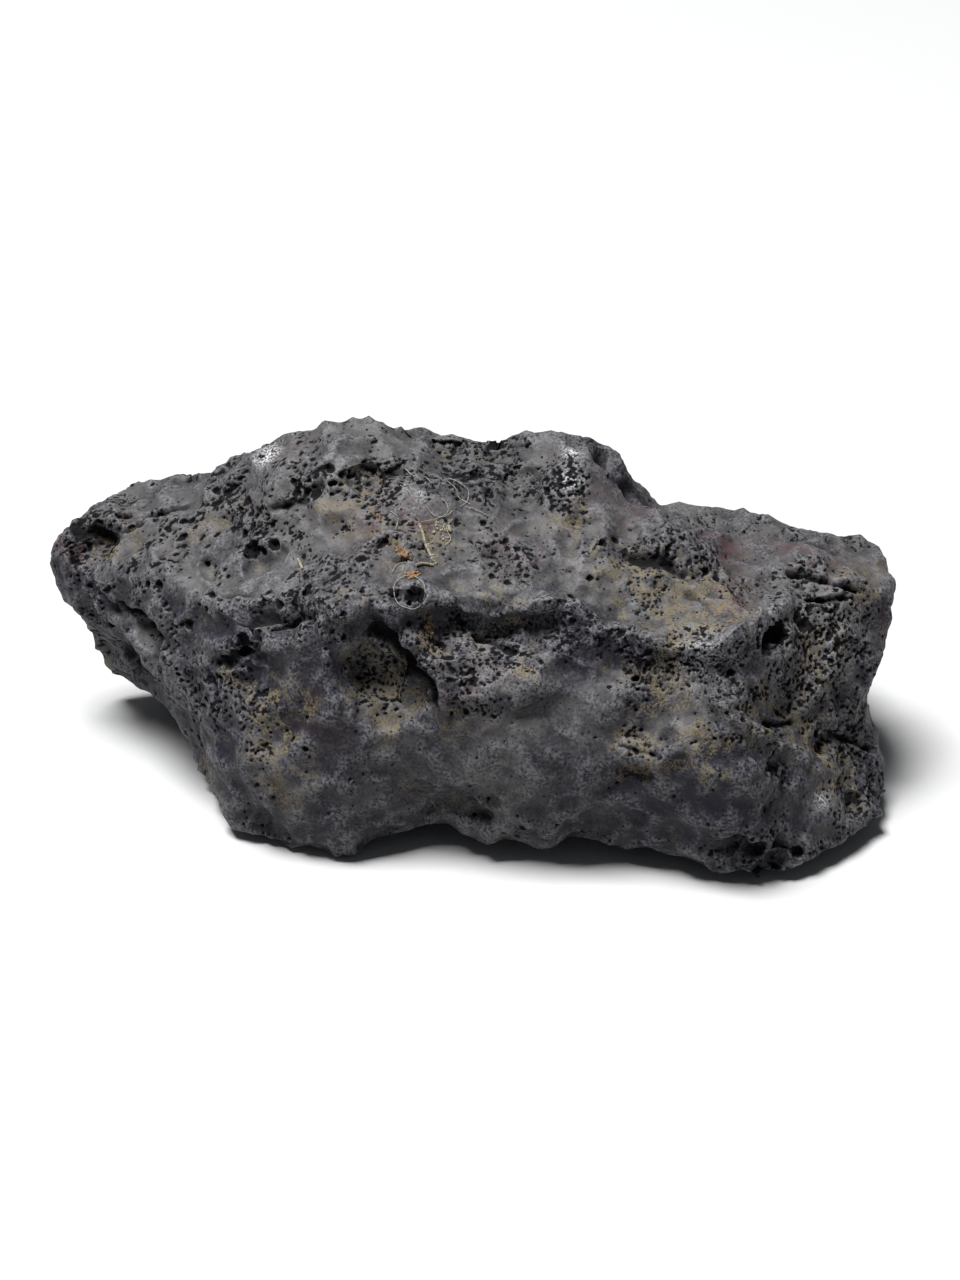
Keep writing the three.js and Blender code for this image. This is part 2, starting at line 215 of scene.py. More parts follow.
SMOOTH_SPOTS = [
    Spot(262, 575, 4, 1.0), Spot(215, 545, 2.5, 0.8), Spot(185, 592, 3, 0.8), Spot(540, 745, 10, 1.0),
    Spot(340, 790, 9, 0.9), Spot(640, 810, 8, 0.6), Spot(612, 500, 5, 0.8), Spot(310, 690, 5, 0.8),
    Spot(600, 598, 4, 0.9), Spot(450, 760, 8, 0.8), Spot(330, 540, 3, 0.5), Spot(540, 530, 4, 0.8),
    Spot(770, 545, 6, 0.8), Spot(800, 810, 6, 0.5), Spot(240, 790, 5, 0.5), Spot(540, 440, 3, 0.4),
    Spot(170, 490, 4, 0.6), Spot(320, 512, 3, 0.6), Spot(420, 500, 3, 0.3), Spot(690, 610, 4, 0.6),
    Spot(850, 560, 4, 0.5), Spot(390, 440, 4, 0.6), Spot(450, 585, 4, 0.5), Spot(700, 780, 7, 0.6),
]
DUST_SPOTS = [
    Spot(700, 605, 6, 1.0), Spot(680, 625, 4, 0.9), Spot(650, 580, 5, 0.7), Spot(600, 560, 4, 0.6),
    Spot(660, 685, 4, 0.8), Spot(700, 745, 5, 0.5), Spot(835, 765, 5, 0.8), Spot(760, 715, 5, 0.7),
    Spot(800, 725, 4, 0.7), Spot(850, 790, 4, 0.5), Spot(640, 755, 5, 0.5), Spot(268, 712, 4, 0.7),
    Spot(280, 765, 5, 0.7), Spot(232, 672, 2, 1.0), Spot(385, 685, 5, 0.9), Spot(430, 535, 4, 0.6),
    Spot(405, 550, 3, 0.6), Spot(500, 595, 4, 0.5), Spot(435, 635, 3, 0.7), Spot(350, 605, 4, 0.4),
    Spot(570, 515, 3, 0.5), Spot(815, 655, 5, 0.7), Spot(525, 672, 3, 0.6), Spot(470, 640, 4, 0.4),
    Spot(360, 660, 3, 0.6), Spot(390, 720, 3, 0.6), Spot(110, 550, 2, 0.7), Spot(250, 540, 2, 0.6),
]
RUST_SPOTS = [
    Spot(720, 545, 4, 0.9), Spot(790, 545, 4, 0.6), Spot(828, 566, 3, 0.9), Spot(516, 548, 2.5, 0.8),
    Spot(414, 516, 2.5, 0.9), Spot(625, 500, 4, 0.6), Spot(75, 545, 3, 0.8), Spot(450, 690, 5, 0.4),
    Spot(370, 520, 3, 0.5), Spot(740, 605, 3, 0.5), Spot(610, 480, 3, 0.6), Spot(320, 720, 4, 0.3),
]
# Worn rims, and painted highlights and painted light on lit ridges, the bowl's floor and the right face
WEAR_AND_LIGHT_SPOTS = [
    Spot(387, 690, 4, 1.0), Spot(370, 662, 4, 1.0), Spot(830, 640, 7, 0.75), Spot(800, 690, 5, 0.7),
    Spot(745, 727, 2.5, 0.8), Spot(792, 754, 2.5, 0.8), Spot(330, 645, 3, 0.5),
    Spot(450, 790, 8, 0.25), Spot(330, 510, 9, 0.25),
    Spot(320, 625, 3, 0.9), Spot(700, 652, 4, 0.8), Spot(760, 620, 3, 1.0), Spot(575, 455, 3, 0.9),
    Spot(272, 578, 4, 0.6), Spot(98, 600, 3, 0.6), Spot(410, 500, 4, 0.5), Spot(500, 665, 5, 0.2),
    Spot(690, 537, 4, 0.6), Spot(545, 606, 4, 0.6), Spot(770, 740, 4, 0.6), Spot(220, 565, 2, 0.6),
    Spot(85, 560, 2, 0.5),
]
# Painted light: pools of light painted where the stone is lit
PAINTED_LIGHT_SPOTS = [
    Spot(300, 520, 9, 0.8), Spot(340, 500, 7, 0.7), Spot(387, 690, 4, 1.0), Spot(370, 665, 4, 0.9),
    Spot(300, 780, 7, 0.5), Spot(830, 645, 7, 1.0), Spot(800, 690, 5, 0.9), Spot(470, 775, 10, 0.9),
    Spot(510, 715, 8, 0.8), Spot(470, 830, 6, 0.5), Spot(330, 790, 8, 0.4), Spot(700, 652, 3, 0.6),
]
# Painted shade: shade painted on faces turned from the light and under ledges
PAINTED_SHADE_SPOTS = [
    Spot(735, 790, 9, 1.0), Spot(572, 640, 6, 1.0), Spot(470, 655, 5, 0.7), Spot(520, 662, 6, 0.8),
    Spot(597, 444, 2.5, 0.9), Spot(618, 472, 3, 0.9),
    Spot(645, 495, 3, 0.9), Spot(466, 805, 3, 0.9), Spot(880, 610, 4, 0.8), Spot(500, 628, 4, 0.6),
    Spot(455, 620, 4, 0.6), Spot(285, 617, 4, 0.8), Spot(310, 705, 4, 0.4), Spot(560, 668, 4, 0.6),
    Spot(760, 840, 6, 0.6), Spot(640, 840, 7, 0.4), Spot(75, 590, 4, 0.6), Spot(610, 670, 4, 0.6),
    Spot(660, 682, 5, 0.8), Spot(715, 690, 5, 0.8), Spot(345, 672, 4, 0.8), Spot(870, 660, 4, 0.7),
    Spot(875, 765, 4, 0.7),
]
# Painted highlights along the arris
WEAR_AND_LIGHT_SPOTS += [Spot(x, y, 1.3, 0.8) for x, y in ARRIS]
# painted shade just under the arris
PAINTED_SHADE_SPOTS += [Spot(x, y + ARRIS_SHADE, 2.8, 0.9) for x, y in ARRIS]
# Pale crystals, and painted glints
GLINT_SPOTS = [
    Spot(266, 456, 1.8, 1.0), Spot(572, 453, 1.2, 0.8), Spot(571, 480, 1.6, 0.7), Spot(404, 485, 0.8, 0.5),
    Spot(421, 496, 0.8, 0.5), Spot(820, 800, 1.0, 0.6), Spot(705, 655, 3, 0.3), Spot(735, 656, 2, 0.3),
    Spot(480, 630, 4, 0.12), Spot(500, 660, 5, 0.08), Spot(765, 615, 1.5, 0.3),
]

# Fibres, bits of straw and crumbs caught on the top: paths in pixels, and crumbs with radii in millimetres
FIBRES = [
    [(448, 479), (458, 483), (468, 491), (467, 502), (460, 508)],
    [(421, 523), (436, 520), (447, 514), (446, 505), (441, 500)],
    [(465, 508), (474, 510), (488, 517)],
    [(400, 486), (408, 492), (412, 500)],
    [(426, 508), (433, 516), (444, 518), (452, 512)],
    [(447, 482), (455, 489), (459, 499), (470, 505)],
    [(391, 512), (398, 519), (396, 530)],
    [(405, 470), (413, 477), (424, 478), (431, 484)],
    [(392, 574), (397, 566), (406, 563)],
    [(452, 520), (446, 529), (450, 540), (444, 547)],
]
HAIR_LOOP = Dot(409, 593, 16)  # the loop of a single hair, with its radius in pixels
LOOP_POINTS = 15
FIBRE_LIFT = 0.25  # fibres lie this far above the skin, in millimetres
STRAWS = [
    [(419, 525), (423, 535), (426, 546), (431, 557)],
    [(416, 566), (423, 564), (433, 566)],
    [(299, 560), (303, 570)],
]
CRUMBS = [
    Dot(402, 552, 0.55), Dot(397, 547, 0.4), Dot(408, 557, 0.4), Dot(413, 577, 0.6), Dot(406, 573, 0.4),
    Dot(418, 573, 0.35), Dot(428, 626, 0.45), Dot(431, 634, 0.35), Dot(379, 516, 0.35),
]
STRAW_CRUMBS = [
    Dot(434, 563, 0.35), Dot(439, 531, 0.5), Dot(445, 538, 0.35), Dot(436, 524, 0.3), Dot(447, 528, 0.45),
    Dot(428, 545, 0.3), Dot(433, 557, 0.4), Dot(421, 531, 0.25),
]

# Each crumb is a heap of rough grains, measured in the crumb's radius
CRUMB_GRAINS = 7
CRUMB_GRAIN_RADIUS = (0.3, 0.75)
CRUMB_GRAIN_SQUASH = (0.6, 1.2)
CRUMB_SPREAD = 0.6
CRUMB_ROUGHNESS = 0.6

# Unevenness of the skin between the pits: size of its features and height, both in millimetres
RIDGES = [(8.0, 0.9), (3.6, 0.55)]
RIDGE_LEVEL = 0.4  # brings ridges and hollows to lie evenly about the skin
GRAIN = [(1.7, 0.16), (0.8, 0.08)]
CALM = 0.5  # smooth spots have this much less of either
SKIN_BLUR = 0.2  # how far the carved skin is evened out

# The CAD solid is welded, and its facets are rounded off, within these millimetres
WELD = 0.001
SOFTENING = 0.75
FILL_PLACE = (-42.6, 20.4, 32.0)  # a lump that fills a sharp notch of the CAD solid's skyline
FILL_RADIUS = 2.6

# Patches of the skin: their size in millimetres, their strength and the start of their random field
PORE_PATCHES = [(8, 0.45, 41), (2.8, 0.55, 42)]
DUST_PATCHES = (12, 0.4, 52)
RUST_PATCHES = (10, 0.4, 53)
PORE_CHANCE = 0.15  # mean chance of a pit, where no spot or patch says otherwise
LEAST_CHANCE = 0.015

# Starts of the other random fields
RIDGE_SEED = 20
GRAIN_SEED = 30
STROKE_SIDE_SEED = 61
STROKE_STRENGTH_SEED = 62
PIT_RIM_SEED = 63
STRAW_CRUMB_SEED = 81
CRUMB_SEED = 82

# Rounds of blurring that show how far the skin stands above its surroundings
BLUR_ROUNDS = {"hollow": 30, "ridge": 8}

# Sizes of the finish's patches and of its painted pores, in millimetres
BROAD = 8.0
MIDDLING = 2.4
SMALL = 2.0
SPECKS = 0.42
DUST_GRAIN = 0.3
WIDE_PORE = 0.95
FINE_PORE = 0.5
BUMP_HEIGHT = 0.14

# Random fields: directions to draw from, numbers that mix a cell's place into a draw, and final scales
DIRECTIONS = 256
CELL_MIX = (374761393, 668265263, 1274126177)
SEED_MIX = 97
LAST_MIX = 1103515245
WORD = 0xFFFFFFFF
NOISE_SCALE = 1.7
RIDGE_SCALE = 1.6


class StoneSettings(bpy.types.PropertyGroup):
    """Sizes and colours of the stone"""

    grain: FloatProperty(
        name="Mesh grain", description="Edge length of the working mesh", default=0.18 * MM, unit="LENGTH"
    )
    triangles: IntProperty(
        name="Triangles", description="Most triangles of the finished mesh", default=196000
    )
    seed: IntProperty(name="Seed", description="Start of the random draws", default=12)
    slate: FloatVectorProperty(
        name="Slate", description="Main colour of the stone", subtype="COLOR",
        default=(0.068, 0.065, 0.0645),
    )
    # Blue-black of the darker bands, and also the colour of painted shade
    dark_slate_and_shade: FloatVectorProperty(
        name="Dark slate", description="Colour of the darker bands", subtype="COLOR",
        default=(0.0098, 0.0098, 0.0162),
    )
    # Also the colour of painted highlights and painted light
    worn: FloatVectorProperty(
        name="Worn", description="Colour of worn rims and ridges", subtype="COLOR",
        default=(0.155, 0.155, 0.165),
    )
    # Painted shade: pits, slits and painted pores are darkened to this colour by their depth
    pit: FloatVectorProperty(
        name="Pit", description="Colour inside the gas pits", subtype="COLOR", default=(0.004, 0.004, 0.005)
    )
    dust: FloatVectorProperty(
        name="Dust", description="Colour of the ochre dust in the hollows", subtype="COLOR",
        default=(0.135, 0.108, 0.064),
    )
    # Also the colour of painted glints
    crystal_and_glint: FloatVectorProperty(
        name="Crystal", description="Colour of the pale mineral flecks", subtype="COLOR",
        default=(0.55, 0.55, 0.56),
    )
    rust: FloatVectorProperty(
        name="Rust", description="Colour of the red stains", subtype="COLOR", default=(0.062, 0.027, 0.028)
    )


class LintSettings(bpy.types.PropertyGroup):
    """Sizes and colours of the fibres, straw and crumbs"""

    fibre_radius: FloatProperty(
        name="Fibre radius", description="Radius of the fibres", default=0.045 * MM, unit="LENGTH"
    )
    straw_radius: FloatProperty(
        name="Straw radius", description="Radius of the bits of straw", default=0.19 * MM, unit="LENGTH"
    )
    fibre: FloatVectorProperty(
        name="Fibre", description="Colour of the fibres", subtype="COLOR", default=(0.33, 0.31, 0.27)
    )
    straw: FloatVectorProperty(
        name="Straw", description="Colour of the straw", subtype="COLOR", default=(0.28, 0.25, 0.18)
    )
    crumb: FloatVectorProperty(
        name="Crumb", description="Colour of the crumbs", subtype="COLOR", default=(0.24, 0.135, 0.07)
    )


class StageSettings(bpy.types.PropertyGroup):
    """Floor, light and camera"""

    floor: FloatVectorProperty(
        name="Floor", description="Colour of the floor", subtype="COLOR", default=(0.47, 0.47, 0.47)
    )
    floor_patch: FloatVectorProperty(
        name="Floor patches", description="Colour of the floor's faint patches", subtype="COLOR",
        default=(0.4, 0.4, 0.4),
    )
    floor_side: FloatProperty(
        name="Floor side", description="Length of the floor's sides", default=6.0, unit="LENGTH"
    )
    key_power: FloatProperty(
        name="Key light", description="Power of the soft light overhead", default=116.0, unit="POWER"
    )
    key_side: FloatProperty(
        name="Key side", description="Length of the soft light's sides", default=0.85, unit="LENGTH"
    )
    key_place: FloatVectorProperty(
        name="Key place", description="Place of the soft light", subtype="TRANSLATION",
        default=(-0.52, -0.09, 2.16),
    )
    key_aim: FloatVectorProperty(
        name="Key aim", description="Point that the soft light faces", subtype="TRANSLATION",
        default=(0, 0, 0.02),
    )
    sky: FloatProperty(name="Sky", description="Strength of the even light all round", default=0.12)
    sky_colour: FloatVectorProperty(
        name="Sky colour", description="Colour of the even light all round", subtype="COLOR",
        default=(0.88, 0.93, 1.0),
    )
    lens: FloatProperty(
        name="Lens", description="Focal length of the camera", default=70.0, unit="CAMERA"
    )
    camera_place: FloatVectorProperty(
        name="Camera", description="Place of the camera", subtype="TRANSLATION",
        default=(1.9 * MM, -281.25 * MM, 183.65 * MM),
    )
    camera_down: FloatProperty(
        name="Looking down", description="Angle of the camera below level", subtype="ANGLE",
        default=math.radians(30),
    )


# Random fields

def gradients(seed):
    rng = np.random.default_rng(seed)
    table = rng.normal(size=(DIRECTIONS, 3))
    return table / np.linalg.norm(table, axis=1)[:, None]


def noise(points, size, seed):
    """Smooth noise from about -1 to 1 whose features are about size millimetres across."""
    table = gradients(seed)
    place = points / size
    cell = np.floor(place).astype(np.int64)
    inside = place - cell
    ease = inside**3 * (inside * (inside * 6 - 15) + 10)
    total = np.zeros(len(points))
    for corner in np.ndindex(2, 2, 2):
        x, y, z = (cell + corner).T
        mixed = (x * CELL_MIX[0] + y * CELL_MIX[1] + z * CELL_MIX[2] + seed * SEED_MIX) & WORD
        mixed = ((mixed ^ (mixed >> 13)) * LAST_MIX) & WORD
        slope = table[(mixed ^ (mixed >> 16)) & (DIRECTIONS - 1)]
        share = np.prod(np.where(corner, ease, 1 - ease), axis=1)
        total += share * np.einsum("ij,ij->i", slope, inside - corner)
    return total * NOISE_SCALE


def ridged(points, size, seed):
    """Rounded hollows from -1 with worn ridges between them, up to 0."""
    return -np.abs(noise(points, size, seed)) * RIDGE_SCALE


def step(values, low, high):
    """0 below low, 1 above high, and a smooth rise between."""
    share = np.clip((values - low) / (high - low), 0, 1)
    return share * share * (3 - 2 * share)


# Places on the stone

def camera_turn(stage):
    return Matrix.Rotation(math.pi / 2 - stage.camera_down, 3, "X")


def photo_ray(stage, x, y):
    """The camera's place in millimetres, and the direction in which it sees a pixel of the photograph."""
    reach = stage.lens / SENSOR * max(PHOTO_SIZE)
    aim = Vector(((x - PHOTO_SIZE[0] / 2) / reach, (PHOTO_SIZE[1] / 2 - y) / reach, -1))
    return Vector(stage.camera_place) / MM, (camera_turn(stage) @ aim).normalized()


def on_stone(tree, x, y):
    """The point of the stone that a pixel of the photograph shows, and the way that it faces."""
    start, aim = photo_ray(bpy.context.scene.hematite_stage, x, y)
    hit, facing, _, _ = tree.ray_cast(start, aim)
    if hit is None:
        raise RuntimeError(f"no stone at pixel {x}, {y}")
    return hit, facing


def path_on_stone(tree, path):
    """Points of the stone along a path of pixels."""
    points = []
    for (x0, y0), (x1, y1) in zip(path, path[1:]):
        count = max(1, round(math.hypot(x1 - x0, y1 - y0) / PIXEL_STEP))
        for share in np.linspace(0, 1, count, endpoint=False):
            points.append(on_stone(tree, x0 + (x1 - x0) * share, y0 + (y1 - y0) * share)[0])
    points.append(on_stone(tree, *path[-1])[0])
    return np.array(points)


def spot_field(points, spots, tree):
    """How strongly the nearest of the spots covers each point."""
    covered = np.zeros(len(points))
    for spot in spots:
        middle = np.array(on_stone(tree, spot.x, spot.y)[0])
        away = ((points - middle) ** 2).sum(1) / spot.reach**2
        covered = np.maximum(covered, spot.strength * np.exp(-away))
    return covered


# Meshes as arrays

def vertex_array(mesh):
    points = np.empty(len(mesh.vertices) * 3)
    mesh.vertices.foreach_get("co", points)
    return points.reshape(-1, 3)


def normal_array(mesh):
    facing = np.empty(len(mesh.vertices) * 3)
    mesh.vertex_normals.foreach_get("vector", facing)
    return facing.reshape(-1, 3)


def edge_array(mesh):
    ends = np.empty(len(mesh.edges) * 2, dtype=np.int64)
    mesh.edges.foreach_get("vertices", ends)
    return ends.reshape(-1, 2)


def set_vertices(mesh, points):
    mesh.vertices.foreach_set("co", points.ravel())
    mesh.update()


def add_field(mesh, name, values):
    layer = mesh.attributes.new(name, "FLOAT", "POINT")
    layer.data.foreach_set("value", np.asarray(values, dtype=np.float32))


def blur(values, ends, rounds):
    """Values averaged with those of their neighbours along the edges, as many times as rounds says."""
    count = len(values)
    degree = np.bincount(ends.ravel(), minlength=count) + 1
    there, back = ends[:, 0], ends[:, 1]
    for _ in range(rounds):
        total = values.copy()
        for column in range(values.shape[1]):
            total[:, column] += np.bincount(there, weights=values[back, column], minlength=count)
            total[:, column] += np.bincount(back, weights=values[there, column], minlength=count)
        values = total / degree[:, None]
    return values


def evaluated(piece):
    """The piece's mesh with its modifiers applied."""
    return bpy.data.meshes.new_from_object(piece.evaluated_get(bpy.context.evaluated_depsgraph_get()))


def linked(name, data):
    piece = bpy.data.objects.new(name, data)
    bpy.context.scene.collection.objects.link(piece)
    return piece


# The stone's shape

def cad_mesh():
    """The CAD stone in millimetres."""
    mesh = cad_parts[STONE_NODE].data.copy()
    mesh.transform(Matrix.Scale(1 / MM, 4))
    return mesh


def tree_of(mesh, scale=1.0):
    corners = [vertex.co * scale for vertex in mesh.vertices]
    return BVHTree.FromPolygons(corners, [face.vertices[:] for face in mesh.polygons])


def cad_tree():
    mesh = cad_mesh()
    tree = tree_of(mesh)
    bpy.data.meshes.remove(mesh)
    return tree


def fine_skin(grain):
    """The CAD stone as an even, fine mesh in millimetres, with its facets rounded off."""
    mesh = cad_mesh()
    shape = bmesh.new()
    shape.from_mesh(mesh)
    lump = Matrix.Translation(FILL_PLACE)
    bmesh.ops.create_icosphere(shape, subdivisions=3, radius=FILL_RADIUS, matrix=lump)
    shape.to_mesh(mesh)
    shape.free()
    blank = linked("blank", mesh)
    blank.modifiers.new("Weld", "WELD").merge_threshold = WELD
    remesh = blank.modifiers.new("Remesh", "REMESH")
    remesh.mode = "VOXEL"
    remesh.voxel_size = grain
    smooth = blank.modifiers.new("Smooth", "SMOOTH")
    smooth.factor = 0.5
    smooth.iterations = round(2 * (SOFTENING / grain) ** 2)
    skin = evaluated(blank)
    bpy.data.objects.remove(blank)
    bpy.data.meshes.remove(mesh)
    return skin


def stroke_rise(points, stroke, tree):
    """How far a stroke lifts each point of the skin, or sinks it."""
    path = path_on_stone(tree, stroke.path)
    reach = 2 * stroke.width
    low, high = path.min(0) - reach, path.max(0) + reach
    near = np.flatnonzero(((points > low) & (points < high)).all(1))
    away = np.full(len(near), reach)
    for start, end in zip(path, path[1:]):
        line = end - start
        along = np.clip((points[near] - start) @ line / (line @ line), 0, 1)
        away = np.minimum(away, np.linalg.norm(points[near] - start - along[:, None] * line, axis=1))
    wobble = noise(points[near], STROKE_WOBBLE_SIZE * stroke.width, STROKE_SIDE_SEED)
    away = away / stroke.width + STROKE_WOBBLE * wobble
    strength = STROKE_MEAN + STROKE_SWING * noise(points[near], STROKE_PATCH, STROKE_STRENGTH_SEED)
    rise = np.zeros(len(points))
    fall = np.exp(-np.clip(away, 0, None) ** STROKE_FALL)
    rise[near] = stroke.rise * np.clip(strength, *STROKE_LIMITS) * fall
    return rise


def roughen(skin, tree):
    """Carves the strokes and raises ridges and grain on the skin. Returns how deep the narrow slits are."""
    points = vertex_array(skin)
    broad = np.zeros(len(points))
    for seed, (size, height) in enumerate(RIDGES):
        broad += height * (ridged(points, size, RIDGE_SEED + seed) + RIDGE_LEVEL)
    fine = np.zeros(len(points))
    for seed, (size, height) in enumerate(GRAIN):
        fine += height * noise(points, size, GRAIN_SEED + seed)
    calm = np.clip(spot_field(points, SMOOTH_SPOTS, tree), 0, 1)
    rise = broad * (1 - CALM * calm) + fine * (1 - CALM * calm)
    slits = np.zeros(len(points))
    for stroke in STROKES:
        change = stroke_rise(points, stroke, tree)
        rise += change
        if stroke.width < SLIT_WIDTH:
            slits = np.maximum(slits, -change)
    set_vertices(skin, points + normal_array(skin) * rise[:, None])
    return slits


def porosity(points, tree):
    """Chance from 0 to 1 that a gas bubble has left a pit at each point."""
    chance = np.full(len(points), PORE_CHANCE)
    for size, strength, seed in PORE_PATCHES:
        chance += strength * noise(points, size, seed)
    chance += spot_field(points, POROUS_SPOTS, tree) - spot_field(points, SMOOTH_SPOTS, tree)
    return np.clip(chance, LEAST_CHANCE, 1)


def scattered_pits(points, facing, tree, rng):
    """Middles and radii of the random gas pits."""
    middles, radii = [], []
    for band in PIT_BANDS:
        pick = rng.integers(len(points), size=band.tries)
        radius = band.least + (band.most - band.least) * rng.random(band.tries) ** band.bias
        sink = radius * rng.uniform(*PIT_SINK, band.tries)
        middle = points[pick] + facing[pick] * sink[:, None]
        kept = rng.random(band.tries) < porosity(middle, tree)
        middles.append(middle[kept])
        radii.append(radius[kept])
    return np.concatenate(middles), np.concatenate(radii)


def placed_pits(points, facing, tree, near):
    """Middles and radii of the gas pits seen in the photograph."""
    middles = []
    for pit in PITS:
        index = near.find(on_stone(tree, pit.x, pit.y)[0])[1]
        middles.append(points[index] - facing[index] * PLACED_SINK * pit.radius)
    return np.array(middles), np.array([pit.radius for pit in PITS])


def pit_depths(points, facing, tree, rng):
    """How deep the gas pits go below each point, along the way that the skin faces."""
    near = KDTree(len(points))
    for index, point in enumerate(points):
        near.insert(point, index)
    near.balance()
    pits = zip(placed_pits(points, facing, tree, near), scattered_pits(points, facing, tree, rng))
    middles, radii = (np.concatenate(pair) for pair in pits)
    stretch = rng.uniform(*PIT_STRETCH, len(middles)) * (1 + spot_field(middles, FLOW_SPOTS, tree))
    stretch[:len(PITS)] = 1
    depth = np.zeros(len(points))
    ragged = (1 + PIT_WOBBLE * noise(points, PIT_WOBBLE_SIZE, PIT_RIM_SEED)) ** 2
    flow = np.array(FLOW)
    for middle, radius, long in zip(middles, radii, stretch):
        found = [index for _, index, _ in near.find_range(middle, PIT_SEARCH * radius * max(long, 1))]
        if not found:
            continue
        away = points[found] - middle
        inward = facing[found]
        away = away + np.outer(away @ flow, flow) * (1 / long - 1)
        inward = inward + np.outer(inward @ flow, flow) * (1 / long - 1)
        slope = np.einsum("ij,ij->i", away, inward)
        length = np.einsum("ij,ij->i", inward, inward)
        spare = radius**2 * ragged[found] - np.einsum("ij,ij->i", away, away)
        reach = (slope + np.sqrt(np.maximum(slope**2 + length * spare, 0))) / length
        depth[found] = np.maximum(depth[found], np.where(spare > 0, reach, 0))
    return depth


def stone_mesh(settings):
    """The finished stone in millimetres, with the fields that its finish reads."""
    tree = cad_tree()
    skin = fine_skin(settings.grain / MM * (1))
    slits = roughen(skin, tree)
    points, facing = vertex_array(skin), normal_array(skin)
    depth = pit_depths(points, facing, tree, np.random.default_rng(settings.seed))
    points = points - facing * depth[:, None]
    points[:, 2] = np.maximum(points[:, 2], 0)
    set_vertices(skin, (1 - SKIN_BLUR) * points + SKIN_BLUR * blur(points, edge_array(skin), 1))
    # depth of the pits and slits, which sets their painted shade
    add_field(skin, "pit", depth + SLIT_SHADE * slits)
    full = linked("full", skin)
    thin = full.modifiers.new("Decimate", "DECIMATE")
    thin.ratio = min(1, settings.triangles / (2 * len(skin.polygons)))
    thin.use_collapse_triangulate = True
    mesh = evaluated(full)
    bpy.data.objects.remove(full)
    bpy.data.meshes.remove(skin)
    add_finish_fields(mesh, tree)
    return mesh


def stained(points, spots, patches, low, high, tree):
    """How strongly the spots, and the random patches above the low and high marks, stain each point."""
    size, strength, seed = patches
    return spot_field(points, spots, tree) + strength * step(noise(points, size, seed), low, high)


def add_finish_fields(mesh, tree):
    """Adds the fields of hollows, dust, red stains, pores, worn rims and painted highlights, flecks and
    painted glints, and painted light and shade.
    """
    points, facing, ends = vertex_array(mesh), normal_array(mesh), edge_array(mesh)
    relief = {}
    for name, rounds in BLUR_ROUNDS.items():
        relief[name] = np.einsum("ij,ij->i", points - blur(points, ends, rounds), facing)
    raised = blur(facing, ends, BLUR_ROUNDS["hollow"])[:, 2]
    patches = spot_field(points, PAINTED_LIGHT_SPOTS, tree) - spot_field(points, PAINTED_SHADE_SPOTS, tree)
    fields = {
        "hollow": -relief["hollow"] * 1.2,
        "ridge": relief["ridge"] * 4,
        "dust": stained(points, DUST_SPOTS, DUST_PATCHES, 0.3, 0.8, tree),
        "rust": stained(points, RUST_SPOTS, RUST_PATCHES, 0.45, 0.9, tree),
        "wear_and_light": spot_field(points, WEAR_AND_LIGHT_SPOTS, tree),
        "glint": spot_field(points, GLINT_SPOTS, tree),
        "porous": step(porosity(points, tree), 0.0, 0.6),
        # painted light and shade: skin that faces up is lighter and steep skin darker, as under overhead
        # light, and the light and shade spots paint more
        "light": 0.25 + 0.5 * step(raised, 0.15, 0.75) + 0.5 * patches,
    }
    for name, values in fields.items():
        add_field(mesh, name, np.clip(values, 0, 1))


# Lint

def lifted_path(tree, guide, pixels, lift):
    """Points above the stone along a path of pixels, lifted by so many millimetres."""
    points = []
    for x, y in pixels:
        points.append(on_stone(tree, x, y)[0] + on_stone(guide, x, y)[1] * lift)
    return points


def rounded(points, parts=6):
    """A smooth curve through the points."""
    ends = [2 * points[0] - points[1], *points, 2 * points[-1] - points[-2]]
    curve = []
    for before, start, end, after in zip(ends, ends[1:], ends[2:], ends[3:]):
        for t in np.linspace(0, 1, parts, endpoint=False):
            bend = (2 * before - 5 * start + 4 * end - after) * t * t
            twist = (3 * start - before - 3 * end + after) * t * t * t
            curve.append(start + ((end - before) * t + bend + twist) / 2)
    return [*curve, points[-1]]


def tubes(paths, radius):
    """One mesh of round strands along the paths."""
    curve = bpy.data.curves.new("strands", "CURVE")
    curve.dimensions = "3D"
    curve.bevel_depth = radius
    curve.bevel_resolution = 2
    curve.use_fill_caps = True
    for path in paths:
        spline = curve.splines.new("POLY")
        spline.points.add(len(path) - 1)
        for point, place in zip(spline.points, path):
            point.co = (*place, 1)
    draft = linked("draft", curve)
    mesh = evaluated(draft)
    bpy.data.objects.remove(draft)
    bpy.data.curves.remove(curve)
    return mesh


def lumps(tree, crumbs, seed):
    """One mesh of rough crumbs, each a heap of grains sunk a little into the stone."""
    rng = np.random.default_rng(seed)
    shape = bmesh.new()
    for crumb in crumbs:
        middle = np.array(on_stone(tree, crumb.x, crumb.y)[0])
        for size in crumb.radius * rng.uniform(*CRUMB_GRAIN_RADIUS, CRUMB_GRAINS):
            place = tree.find_nearest(middle + rng.normal(size=3) * CRUMB_SPREAD * crumb.radius)[0]
            ball = bmesh.ops.create_icosphere(shape, subdivisions=2, radius=size)["verts"]
            points = np.array([vertex.co for vertex in ball]) * rng.uniform(*CRUMB_GRAIN_SQUASH, 3)
            swell = 1 + CRUMB_ROUGHNESS * noise(points / size + middle, 0.9, seed)
            for vertex, point in zip(ball, points * swell[:, None]):
                vertex.co = place + Vector(point)
    mesh = bpy.data.meshes.new("crumbs")
    shape.to_mesh(mesh)
    shape.free()
    return mesh


def finish_lint(name, mesh, material):
    mesh.transform(Matrix.Scale(MM, 4))
    mesh.materials.clear()
    mesh.materials.append(material)
    mesh.shade_smooth()
    piece = linked(name, mesh)
    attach(piece, "root")


# Finishes

def new_material(name):
    material = bpy.data.materials.new(name)
    material.use_nodes = True
    return material, material.node_tree, material.node_tree.nodes["Principled BSDF"]


